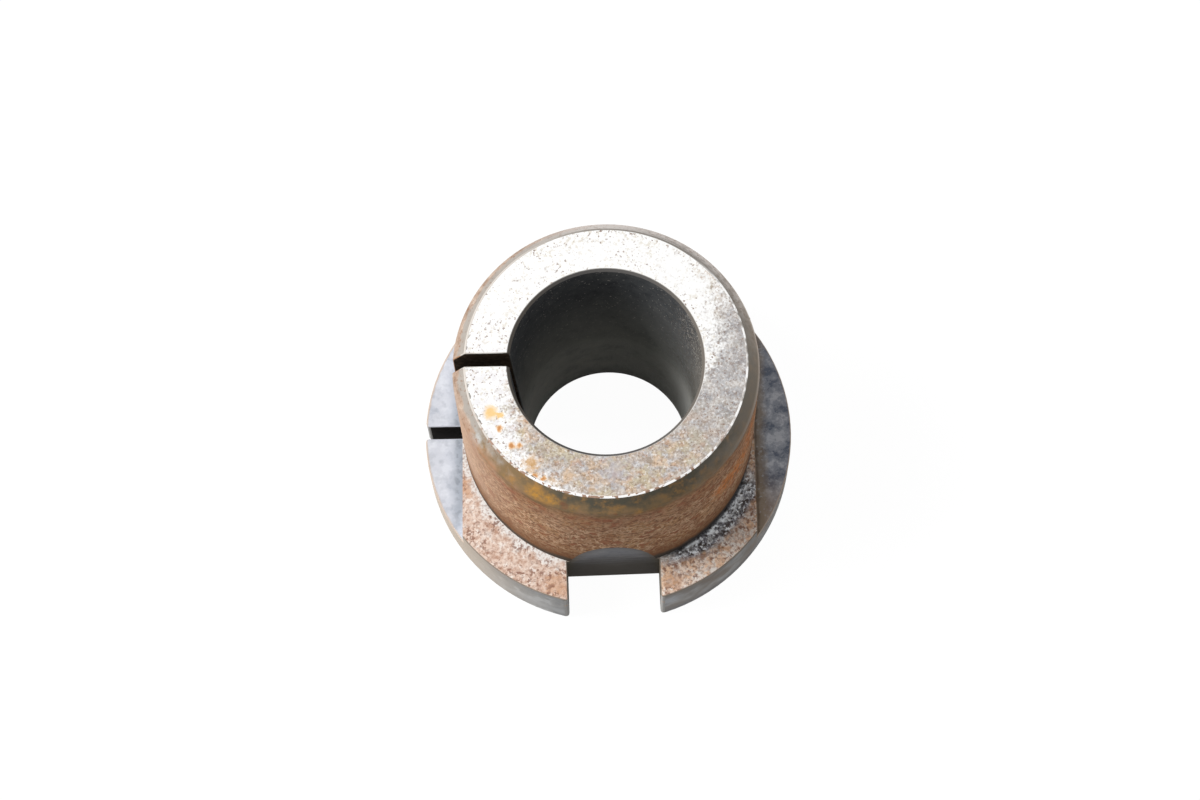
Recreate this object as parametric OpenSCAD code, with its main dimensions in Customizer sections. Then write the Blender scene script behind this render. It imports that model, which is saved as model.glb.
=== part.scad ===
// Camber adjusting bushing: a split steel sleeve with a tapered bore and a notched flange.
// Millimetres, +Z up. The origin is on the bore's axis, in the plane of the base.

/* [Sleeve] */
// Outside diameter of the sleeve
sleeve_d = 40; // [36:0.5:46]
// Overall height, from the base to the top face
height = 37.4; // [30:0.1:45]
// Width of the lead-in bevel, measured inwards on the top face
lead_w = 1.65; // [0.5:0.05:3]
// Height of the lead-in bevel
lead_h = 2.45; // [0.5:0.05:4]

/* [Tapered bore] */
// Bore diameter at the top face, the taper's large end
bore_top_d = 25; // [22:0.1:29]
// Bore diameter at the base, the taper's small end
bore_base_d = 22.1; // [18:0.1:28]
// Bevel that breaks the bore's top edge
bore_break = 0.4; // [0.1:0.05:1]

/* [Flange] */
// How far the flange stands out beyond the sleeve
flange_w = 5.4; // [3:0.1:10]
// Thickness of the flange
flange_t = 9.65; // [6:0.05:14]
// Bevel that breaks the flange's lower edge
flange_break = 0.3; // [0.1:0.05:1]

/* [Side reliefs] */
// How deep the two reliefs are milled below the flange's face
relief_depth = 3.2; // [0.5:0.1:5]
// Strip of full-height flange left between the sleeve and a relief
relief_land = 0.1; // [0.05:0.05:2]

/* [Spanner notch] */
// Width of the notch
notch_w = 12.6; // [4:0.1:20]
// How far the notch's floor bites into the sleeve at the base
notch_bite = 1.17; // [0.2:0.01:3]
// Radius of the cutter's sweep, which lets the floor run out up the sleeve
notch_sweep_r = 160; // [60:1:300]
// Turn of the notch about the axis, away from the middle between the reliefs
notch_turn = 1.2; // [-10:0.1:10]

/* [Clamping slit] */
// Width of the slit
slit_w = 1.74; // [0.5:0.02:4]
// How far the slit's middle lies off the axis
slit_offset = 0.49; // [-2:0.01:2]

/* [Hidden] */
$fn = 192;
// Overshoot that carries a cut clear of the surface it leaves
clear = 1;
sleeve_r = sleeve_d / 2;
flange_r = sleeve_r + flange_w;
relief_x = sleeve_r + relief_land;
notch_floor_y = sleeve_r - notch_bite;

// Radius of the tapered bore at a height above the base
function bore_r(z) = (bore_base_d + (bore_top_d - bore_base_d) * z / height) / 2;

// Half section of the turned blank, from the base round to the bore's top edge
module blank_section() {
    polygon([
        [bore_r(0), 0],
        [flange_r - flange_break, 0],
        [flange_r, flange_break],
        [flange_r, flange_t],
        [sleeve_r, flange_t],
        [sleeve_r, height - lead_h],
        [sleeve_r - lead_w, height],
        [bore_r(height) + bore_break, height],
        [bore_r(height - bore_break), height - bore_break]
    ]);
}

// Relief milled across the flange on the +X side
module relief_cut() {
    translate([relief_x, -flange_r - clear, flange_t - relief_depth])
        cube([flange_w + clear, 2 * (flange_r + clear), relief_depth + clear]);
}

// Disc cutter whose rim leaves the notch's floor, deepest at the base
module notch_cut() {
    rotate(notch_turn)
        translate([0, -notch_floor_y - notch_sweep_r, 0])
            rotate([0, 90, 0])
                cylinder(r = notch_sweep_r, h = notch_w, center = true);
}

// Saw cut through the sleeve's wall and the flange on the -X side
module slit_cut() {
    translate([-flange_r - clear, slit_offset - slit_w / 2, -clear])
        cube([flange_r + clear, slit_w, height + 2 * clear]);
}

module bushing() {
    color([0.52, 0.42, 0.35])
        difference() {
            rotate_extrude() blank_section();
            relief_cut();
            mirror([1, 0, 0]) relief_cut();
            notch_cut();
            slit_cut();
        }
}

bushing();
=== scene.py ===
"""A used camber adjusting bushing: a split steel sleeve with a tapered bore and a notched flange.

Lengths in the dataclasses are in millimetres, as in the part's source, and meshes are in metres.
Angles round the bore's axis are in degrees, counted from +X towards +Y; the slit is at 180.
"""

import logging
import math
from collections.abc import Sequence
from dataclasses import dataclass, replace
from enum import IntEnum

import bmesh
import bpy
from mathutils import Matrix, Quaternion, Vector


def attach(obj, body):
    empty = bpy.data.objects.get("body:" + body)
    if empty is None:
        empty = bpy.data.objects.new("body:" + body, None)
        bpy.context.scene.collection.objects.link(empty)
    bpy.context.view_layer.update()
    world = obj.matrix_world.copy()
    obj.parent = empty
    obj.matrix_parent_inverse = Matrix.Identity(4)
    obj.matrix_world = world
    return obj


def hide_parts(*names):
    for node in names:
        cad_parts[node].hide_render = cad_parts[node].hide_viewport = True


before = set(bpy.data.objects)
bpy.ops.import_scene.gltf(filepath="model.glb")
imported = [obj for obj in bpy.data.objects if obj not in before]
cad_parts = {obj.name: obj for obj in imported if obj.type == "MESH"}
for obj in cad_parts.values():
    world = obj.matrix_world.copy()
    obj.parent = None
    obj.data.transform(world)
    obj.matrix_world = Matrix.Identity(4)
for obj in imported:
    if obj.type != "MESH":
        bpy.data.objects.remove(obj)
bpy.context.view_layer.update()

MM = 0.001
# Heights of the top face and of the flange's seat.
FACE_Z = 37.4
SEAT_Z = 9.65
# A face looks straight down if its normal's z is below this.
DOWNWARD = -0.999
LOG = logging.getLogger("bushing")

Socket = bpy.types.NodeSocket
Colour = tuple[float, float, float, float]
Value = float | Sequence[float] | Socket
WHITE: Colour = (1.0, 1.0, 1.0, 1.0)


def paint(red: int, green: int, blue: int) -> Colour:
    """Turns a colour as a screen shows it into the linear one that shaders take.

    Args:
        red: Red, 0 to 255.
        green: Green, 0 to 255.
        blue: Blue, 0 to 255.

    Returns:
        The linear colour with full alpha.
    """

    def linear(level: int) -> float:
        """Undoes the screen's curve for one channel."""
        share = level / 255
        return share / 12.92 if share <= 0.04045 else ((share + 0.055) / 1.055) ** 2.4

    return linear(red), linear(green), linear(blue), 1.0


def linked(name: str, data: bpy.types.ID) -> bpy.types.Object:
    """Puts a new object in the scene.

    Args:
        name: The object's name.
        data: Its mesh, lamp or camera.

    Returns:
        The object.
    """
    thing = bpy.data.objects.new(name, data)
    bpy.context.scene.collection.objects.link(thing)
    return thing


class Zone(IntEnum):
    """The bushing's surfaces, in the order of its material slots."""

    FACE = 0
    LEAD = 1
    SLEEVE = 2
    FLANGE = 3
    RELIEF = 4
    RIM = 5
    NOTCH = 6
    BORE = 7
    SLIT = 8
    EDGE = 9


class Graph:
    """Short forms for wiring shader nodes in one node tree."""

    def __init__(self, tree: bpy.types.NodeTree) -> None:
        """Takes the tree that the nodes go in."""
        self.tree = tree

    def feed(self, socket: Socket, value: Value) -> None:
        """Links a socket to another, or sets its value.

        Args:
            socket: The input to feed.
            value: An output socket, or a number, vector or colour.
        """
        if isinstance(value, Socket):
            self.tree.links.new(value, socket)
        else:
            socket.default_value = value

    def add(self, kind: str, inputs: dict[str | int, Value], **settings: object) -> bpy.types.Node:
        """Adds a node.

        Args:
            kind: The node's type name.
            inputs: What each input gets, by its name or its place.
            **settings: The node's own options.

        Returns:
            The new node.
        """
        node = self.tree.nodes.new(kind)
        for name, option in settings.items():
            setattr(node, name, option)
        for name, value in inputs.items():
            self.feed(node.inputs[name], value)
        return node

    def group(self, effect: bpy.types.NodeTree, inputs: dict[str | int, Value]) -> bpy.types.Node:
        """Places a node group in the tree.

        Args:
            effect: The group's tree.
            inputs: What each of its inputs gets.

        Returns:
            The group's node.
        """
        return self.add("ShaderNodeGroup", inputs, node_tree=effect)

    def math(self, operation: str, first: Value, second: Value = 0.0) -> Socket:
        """Works out one sum.

        Args:
            operation: The Math node's operation.
            first: Its first number.
            second: Its second number.

        Returns:
            The result.
        """
        return self.add("ShaderNodeMath", {0: first, 1: second}, operation=operation).outputs[0]

    def plus(self, first: Value, second: Value) -> Socket:
        """Adds two numbers."""
        return self.math("ADD", first, second)

    def minus(self, first: Value, second: Value) -> Socket:
        """Takes the second number from the first."""
        return self.math("SUBTRACT", first, second)

    def times(self, first: Value, second: Value) -> Socket:
        """Multiplies two numbers."""
        return self.math("MULTIPLY", first, second)

    def rise(self, value: Value, start: Value, end: Value) -> Socket:
        """Makes a mask that goes smoothly from 0 at start to 1 at end.

        Args:
            value: The number that is looked at.
            start: Where the mask is 0.
            end: Where the mask is 1.

        Returns:
            The mask.
        """
        inputs = {0: value, 1: start, 2: end}
        return self.add("ShaderNodeMapRange", inputs, interpolation_type="SMOOTHSTEP").outputs[0]

    def mix(self, share: Value, under: Value, over: Value) -> Socket:
        """Lays one colour over another.

        Args:
            share: How much of the upper colour shows, 0 to 1.
            under: The lower colour.
            over: The upper colour.

        Returns:
            The mixed colour.
        """
        return self.add("ShaderNodeMix", {0: share, 6: under, 7: over}, data_type="RGBA").outputs[2]

    def between(self, share: Value, low: Value, high: Value) -> Socket:
        """Goes from one number to another.

        Args:
            share: 0 for low, 1 for high.
            low: The first number.
            high: The second number.

        Returns:
            The number in between.
        """
        return self.add("ShaderNodeMix", {0: share, 2: low, 3: high}, data_type="FLOAT").outputs[0]

    def noise(self, point: Socket, scale: Value, detail: float = 2.0, rough: float = 0.5) -> Socket:
        """Makes a cloudy value about 0.5.

        Args:
            point: Where on the part, in millimetres.
            scale: Waves to the millimetre.
            detail: How many finer layers are added.
            rough: How strong the finer layers are.

        Returns:
            The value.
        """
        inputs = {"Vector": point, "Scale": scale, "Detail": detail, "Roughness": rough}
        return self.add("ShaderNodeTexNoise", inputs).outputs[0]


GREY: Colour = (0.5, 0.5, 0.5, 1.0)
SocketDefaults = dict[str, float | Colour | None]


def socket_kind(default: float | Colour | None) -> str:
    """Tells a socket's kind by its default: a number, a colour, or None for a vector."""
    if default is None:
        return "NodeSocketVector"
    return "NodeSocketFloat" if isinstance(default, float) else "NodeSocketColor"


def new_effect(name: str, inputs: SocketDefaults, outputs: SocketDefaults) -> tuple[Graph, dict, dict]:
    """Starts a shader node group.

    Args:
        name: The group's name.
        inputs: The default of each input, which also tells its kind.
        outputs: The same of each output.

    Returns:
        The group's graph, its inputs by name inside the group, and its outputs likewise.
    """
    tree = bpy.data.node_groups.new(name, "ShaderNodeTree")
    for way, sockets in (("INPUT", inputs), ("OUTPUT", outputs)):
        for label, default in sockets.items():
            socket = tree.interface.new_socket(label, in_out=way, socket_type=socket_kind(default))
            if default is not None:
                socket.default_value = default
    entry = tree.nodes.new("NodeGroupInput")
    leave = tree.nodes.new("NodeGroupOutput")
    given = {label: entry.outputs[label] for label in inputs}
    wanted = {label: leave.inputs[label] for label in outputs}
    return Graph(tree), given, wanted


def place_effect() -> bpy.types.NodeTree:
    """Makes the group that says where on the part a point lies.

    Returns:
        The group: the point in millimetres, and its distance, angle and height on the bore's axis.
    """
    outputs = {"Point": None, "Radius": 0.0, "Angle": 0.0, "Height": 0.0}
    graph, _, out = new_effect("place_on_part", {}, outputs)
    where = graph.add("ShaderNodeTexCoord", {}).outputs["Object"]
    point = graph.add("ShaderNodeVectorMath", {0: where, "Scale": 1 / MM}, operation="SCALE").outputs[0]
    parts = graph.add("ShaderNodeSeparateXYZ", {0: point}).outputs
    flat = graph.add("ShaderNodeCombineXYZ", {0: parts[0], 1: parts[1]}).outputs[0]
    radius = graph.add("ShaderNodeVectorMath", {0: flat}, operation="LENGTH").outputs[1]
    turn = graph.math("ARCTAN2", parts[1], parts[0])
    graph.feed(out["Point"], point)
    graph.feed(out["Radius"], radius)
    graph.feed(out["Angle"], graph.math("DEGREES", turn))
    graph.feed(out["Height"], parts[2])
    return graph.tree


def sector_effect() -> bpy.types.NodeTree:
    """Makes the group that masks a sector of the ring round the bore.

    Returns:
        The group: 1 within the half width of the centre angle, fading to 0 outside it.
    """
    inputs = {"Angle": 0.0, "Centre": 0.0, "Half Width": 30.0, "Fade": 20.0}
    graph, given, out = new_effect("sector", inputs, {"Mask": 0.0})
    shifted = graph.plus(graph.minus(given["Angle"], given["Centre"]), 540.0)
    wrapped = graph.minus(graph.math("FLOORED_MODULO", shifted, 360.0), 180.0)
    away = graph.math("ABSOLUTE", wrapped)
    half_fade = graph.times(given["Fade"], 0.5)
    inside = graph.minus(given["Half Width"], half_fade)
    outside = graph.plus(given["Half Width"], half_fade)
    graph.feed(out["Mask"], graph.rise(away, outside, inside))
    return graph.tree


def speckle_effect() -> bpy.types.NodeTree:
    """Makes the group that scatters small spots.

    Returns:
        The group: a mask of spots of about the given size, fewer as the level goes up.
    """
    inputs = {"Point": None, "Size": 0.5, "Level": 0.6, "Softness": 0.04}
    graph, given, out = new_effect("speckle", inputs, {"Mask": 0.0})
    scale = graph.math("DIVIDE", 1.0, given["Size"])
    cloud = graph.noise(given["Point"], scale, detail=2.0, rough=0.55)
    start = graph.minus(given["Level"], given["Softness"])
    end = graph.plus(given["Level"], given["Softness"])
    graph.feed(out["Mask"], graph.rise(cloud, start, end))
    return graph.tree


def patch_effect() -> bpy.types.NodeTree:
    """Makes the group for one ragged patch.

    Returns:
        The group: a mask that is 1 in the patch's middle and 0 beyond its reach.
    """
    inputs = {"Point": None, "Centre": None, "Reach": 1.0, "Ragged": 0.3, "Core": 0.4}
    graph, given, out = new_effect("patch", inputs, {"Mask": 0.0})
    ends = {0: given["Point"], 1: given["Centre"]}
    away = graph.add("ShaderNodeVectorMath", ends, operation="DISTANCE").outputs[1]
    cloud = graph.minus(graph.noise(given["Point"], 1.6, detail=4.0, rough=0.62), 0.5)
    ragged = graph.plus(away, graph.times(cloud, graph.times(given["Ragged"], 4.0)))
    middle = graph.times(given["Reach"], given["Core"])
    graph.feed(out["Mask"], graph.rise(ragged, given["Reach"], middle))
    return graph.tree


def cloud_effect() -> bpy.types.NodeTree:
    """Makes the group for a mottled skin such as rust or stain.

    Returns:
        The group: a colour that goes from dark through body to pale, and the value that drives it.
    """
    inputs = {"Point": None, "Size": 1.0, "Dark": GREY, "Body": GREY, "Pale": GREY, "Spread": 0.12}
    graph, given, out = new_effect("cloud", inputs, {"Colour": GREY, "Value": 0.0})
    scale = graph.math("DIVIDE", 1.0, given["Size"])
    value = graph.noise(given["Point"], scale, detail=5.0, rough=0.68)
    low = graph.minus(0.5, given["Spread"])
    high = graph.plus(0.5, given["Spread"])
    lower = graph.mix(graph.rise(value, low, 0.5), given["Dark"], given["Body"])
    graph.feed(out["Colour"], graph.mix(graph.rise(value, 0.5, high), lower, given["Pale"]))
    graph.feed(out["Value"], value)
    return graph.tree


def streak_effect() -> bpy.types.NodeTree:
    """Makes the group for streaks that run round the bore's axis.

    Returns:
        The group: a value about 0.5, long along the turn and short across it.
    """
    inputs = {"Angle": 0.0, "Across": 0.0, "Per Degree": 0.3, "Per Millimetre": 4.0}
    graph, given, out = new_effect("streak", inputs, {"Value": 0.0})
    along = graph.times(given["Angle"], given["Per Degree"])
    across = graph.times(given["Across"], given["Per Millimetre"])
    flat = graph.add("ShaderNodeCombineXYZ", {0: along, 1: across}).outputs[0]
    graph.feed(out["Value"], graph.noise(flat, 1.0, detail=4.0, rough=0.6))
    return graph.tree


def thread_effect() -> bpy.types.NodeTree:
    """Makes the group for a net of fine wavy threads.

    Returns:
        The group: a mask of thin lines that wind about, with meshes of about the given size.
    """
    inputs = {"Point": None, "Size": 1.0, "Width": 0.03}
    graph, given, out = new_effect("thread", inputs, {"Mask": 0.0})
    scale = graph.math("DIVIDE", 1.0, given["Size"])
    winding = graph.noise(given["Point"], scale, detail=3.0, rough=0.62)
    away = graph.math("ABSOLUTE", graph.minus(winding, 0.5))
    graph.feed(out["Mask"], graph.rise(away, given["Width"], 0.0))
    return graph.tree


def oil_effect() -> bpy.types.NodeTree:
    """Makes the group for the burnt oil that runs round the front of the lead-in and fades down the sleeve.

    Returns:
        The group: the oil's colour, and a mask of where it lies.
    """
    inputs = {"Point": None, "Angle": 0.0, "Height": 0.0}
    inputs |= {"Dark": GREY, "Olive": GREY, "Ochre": GREY, "Grey": GREY}
    graph, given, out = new_effect("burnt_oil", inputs, {"Colour": GREY, "Mask": 0.0})
    sway = graph.minus(graph.noise(given["Point"], 0.4, detail=4.0, rough=0.6), 0.5)
    smear = graph.minus(graph.noise(given["Point"], 0.6, detail=5.0, rough=0.6), 0.5)
    angle = graph.plus(given["Angle"], graph.times(sway, 50.0))
    height = graph.plus(graph.plus(given["Height"], graph.times(sway, 4.2)), graph.times(smear, 4.0))
    front = graph.times(graph.rise(angle, -152.0, -132.0), graph.rise(angle, 48.0, -4.0))
    graph.feed(out["Mask"], graph.times(front, graph.rise(height, 32.4, 35.6)))
    depth = graph.plus(given["Height"], graph.times(smear, 5.5))
    burnt = graph.times(graph.rise(depth, 34.6, 37.0), graph.rise(angle, -134.0, -104.0))
    oil = graph.mix(burnt, given["Olive"], given["Dark"])
    blotch = graph.rise(graph.noise(given["Point"], 0.7, detail=5.0, rough=0.62), 0.46, 0.74)
    oil = graph.mix(blotch, oil, given["Ochre"])
    aside = graph.times(graph.rise(angle, -64.0, -22.0), 0.75)
    graph.feed(out["Colour"], graph.mix(aside, oil, given["Grey"]))
    return graph.tree


@dataclass(frozen=True)
class Effects:
    """The node groups that the finishes share."""

    place: bpy.types.NodeTree
    sector: bpy.types.NodeTree
    speckle: bpy.types.NodeTree
    patch: bpy.types.NodeTree
    cloud: bpy.types.NodeTree
    streak: bpy.types.NodeTree
    thread: bpy.types.NodeTree
    oil: bpy.types.NodeTree

    @classmethod
    def made(cls) -> "Effects":
        """Builds each group once."""
        return cls(
            place=place_effect(),
            sector=sector_effect(),
            speckle=speckle_effect(),
            patch=patch_effect(),
            cloud=cloud_effect(),
            streak=streak_effect(),
            thread=thread_effect(),
            oil=oil_effect(),
        )


@dataclass(frozen=True)
class Spot:
    """A patch of colour on the part."""

    centre: tuple[float, float, float]
    reach: float
    ragged: float = 0.2
    core: float = 0.4


@dataclass(frozen=True)
class Tones:
    """The three colours of a mottled skin."""

    dark: Colour
    body: Colour
    pale: Colour


class Brush:
    """One material's graph, with the shared effects at hand and the place on the part known."""

    def __init__(self, tree: bpy.types.NodeTree, effects: Effects) -> None:
        """Starts the graph of one material.

        Args:
            tree: The material's node tree.
            effects: The shared node groups.
        """
        self.graph = Graph(tree)
        self.effects = effects
        place = self.graph.group(effects.place, {}).outputs
        self.point = place["Point"]
        self.radius = place["Radius"]
        self.angle = place["Angle"]
        self.height = place["Height"]

    def sway(self, size: float, swing: float) -> Socket:
        """Makes a soft wandering number about 0.

        Args:
            size: The size of a wave, in millimetres.
            swing: How far it wanders.

        Returns:
            The number.
        """
        wave = self.graph.noise(self.point, 1 / size, detail=3.0)
        return self.graph.times(self.graph.minus(wave, 0.5), swing)

    def wavy(self, value: Socket, size: float, swing: float) -> Socket:
        """Lets a number wander, so that a mask made from it has a wavy edge.

        Args:
            value: The number.
            size: The size of a wave, in millimetres.
            swing: How far it wanders.

        Returns:
            The wandering number.
        """
        return self.graph.plus(value, self.sway(size, swing))

    def band(self, value: Socket, low: float, high: float, fade: float = 0.1) -> Socket:
        """Masks the values between two limits.

        Args:
            value: The number that is looked at.
            low: The lower limit.
            high: The upper limit.
            fade: How far the mask fades on each side of a limit.

        Returns:
            The mask.
        """
        above = self.graph.rise(value, low - fade, low + fade)
        return self.graph.times(above, self.graph.rise(value, high + fade, high - fade))

    def sector(self, centre: float, half: float, fade: float, angle: Socket | None = None) -> Socket:
        """Masks a sector.

        Args:
            centre: The sector's middle, in degrees.
            half: Half its width, in degrees.
            fade: Over how many degrees it fades.
            angle: The angle that is looked at, if not the plain one.

        Returns:
            The mask.
        """
        inputs = {"Angle": angle or self.angle, "Centre": centre, "Half Width": half, "Fade": fade}
        return self.graph.group(self.effects.sector, inputs).outputs[0]

    def speckle(self, size: float, level: float, softness: float) -> Socket:
        """Scatters spots.

        Args:
            size: About how far apart they are, in millimetres.
            level: From about 0.45, many, to 0.75, few.
            softness: How soft their edges are.

        Returns:
            The mask.
        """
        inputs = {"Point": self.point, "Size": size, "Level": level, "Softness": softness}
        return self.graph.group(self.effects.speckle, inputs).outputs[0]

    def crowding(self, per_mm: float, low: float, high: float) -> Socket:
        """Masks the wide areas in which specks crowd together.

        Args:
            per_mm: Waves to the millimetre.
            low: The noise below which there are none.
            high: The noise from which there are most.

        Returns:
            The mask.
        """
        return self.graph.rise(self.graph.noise(self.point, per_mm, detail=2.0), low, high)

    def patch(self, spot: Spot) -> Socket:
        """Masks one ragged patch.

        Args:
            spot: Where it is and how large.

        Returns:
            The mask.
        """
        inputs = {"Point": self.point, "Centre": spot.centre, "Reach": spot.reach}
        inputs |= {"Ragged": spot.ragged, "Core": spot.core}
        return self.graph.group(self.effects.patch, inputs).outputs[0]

    def cloud(self, size: float, tones: Tones, spread: float) -> tuple[Socket, Socket]:
        """Mottles three colours.

        Args:
            size: The size of a blotch, in millimetres.
            tones: The colours.
            spread: How far the value strays before dark or pale is reached.

        Returns:
            The colour, and the value that drives it.
        """
        inputs = {"Point": self.point, "Size": size, "Spread": spread}
        inputs |= {"Dark": tones.dark, "Body": tones.body, "Pale": tones.pale}
        cloud = self.graph.group(self.effects.cloud, inputs).outputs
        return cloud["Colour"], cloud["Value"]

    def streak(self, across: Socket, per_degree: float, per_mm: float) -> Socket:
        """Draws streaks round the axis.

        Args:
            across: The measure that the streaks are short in.
            per_degree: Waves to the degree.
            per_mm: Waves to the millimetre across.

        Returns:
            The value.
        """
        inputs = {"Angle": self.angle, "Across": across, "Per Degree": per_degree, "Per Millimetre": per_mm}
        return self.graph.group(self.effects.streak, inputs).outputs[0]

    def thread(self, size: float, width: float) -> Socket:
        """Draws a net of wavy threads.

        Args:
            size: The size of a mesh of the net, in millimetres.
            width: How thick the threads are, about 0.02 to 0.06.

        Returns:
            The mask.
        """
        inputs = {"Point": self.point, "Size": size, "Width": width}
        return self.graph.group(self.effects.thread, inputs).outputs[0]


class Skin:
    """A colour that is built up in layers on one surface."""

    def __init__(self, brush: Brush, colour: Value) -> None:
        """Starts with the lowest colour.

        Args:
            brush: The material's graph.
            colour: The lowest colour.
        """
        self.brush = brush
        self.colour = colour

    def lay(self, over: Value, *masks: Value) -> None:
        """Lays a colour over what is there, where every mask is set.

        Args:
            over: The upper colour.
            *masks: The masks and shares, which are multiplied.
        """
        share = masks[0]
        for mask in masks[1:]:
            share = self.brush.graph.times(share, mask)
        self.colour = self.brush.graph.mix(share, self.colour, over)

    def dab(self, over: Value, spots: Sequence[Spot], *masks: Value) -> None:
        """Lays a colour on patches.

        Args:
            over: The upper colour.
            spots: The patches.
            *masks: Further masks and shares.
        """
        for spot in spots:
            self.lay(over, self.brush.patch(spot), *masks)


@dataclass(frozen=True)
class Coat:
    """What a finish feeds its shader."""

    colour: Socket
    roughness: Value
    metallic: Value
    height: Socket
    bump: float
    gloss: float


@dataclass(frozen=True)
class Finish:
    """A procedural finish of one surface."""

    name: str

    def coat(self, brush: Brush) -> Coat:
        """Paints the surface; each finish has its own."""
        raise NotImplementedError

    def material(self, effects: Effects) -> bpy.types.Material:
        """Makes the material.

        Args:
            effects: The shared node groups.

        Returns:
            The material, with the finish's colour, roughness, metal and bump wired.
        """
        material = bpy.data.materials.new(self.name)
        material.use_nodes = True
        tree = material.node_tree
        tree.nodes.clear()
        brush = Brush(tree, effects)
        coat = self.coat(brush)
        relief = {"Strength": 1.0, "Distance": coat.bump * MM, "Height": coat.height}
        inputs = {
            "Base Color": coat.colour,
            "Roughness": coat.roughness,
            "Metallic": coat.metallic,
            "Specular IOR Level": coat.gloss,
            "Normal": brush.graph.add("ShaderNodeBump", relief).outputs[0],
        }
        shader = brush.graph.add("ShaderNodeBsdfPrincipled", inputs)
        brush.graph.add("ShaderNodeOutputMaterial", {"Surface": shader.outputs[0]})
        return material


@dataclass(frozen=True)
class Oil:
    """The burnt oil round the lead-in: its colours, and the golden patches in it."""

    dark: Colour = paint(90, 86, 74)
    olive: Colour = paint(138, 114, 82)
    ochre: Colour = paint(168, 128, 78)
    grey: Colour = paint(154, 145, 134)
    gold: Colour = paint(210, 152, 62)
    gold_spots: tuple[Spot, ...] = (
        Spot((-9.3, -17.0, 35.75), 2.0, 0.4, 0.0),
        Spot((-7.3, -17.8, 35.6), 1.5, 0.4, 0.0),
        Spot((3.9, -19.6, 34.6), 0.9, 0.3, 0.0),
    )

    def lay_on(self, skin: Skin) -> Socket:
        """Lays the oil over a skin.

        Args:
            skin: The skin under the oil.

        Returns:
            The mask of where the oil lies.
        """
        brush = skin.brush
        inputs = {"Point": brush.point, "Angle": brush.angle, "Height": brush.height}
        inputs |= {"Dark": self.dark, "Olive": self.olive, "Ochre": self.ochre, "Grey": self.grey}
        oil = brush.graph.group(brush.effects.oil, inputs).outputs
        skin.lay(oil["Colour"], oil["Mask"])
        grainy = brush.graph.between(brush.speckle(0.5, 0.5, 0.15), 0.45, 1.0)
        skin.dab(self.gold, self.gold_spots, grainy, 0.8)
        return oil["Mask"]


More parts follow.
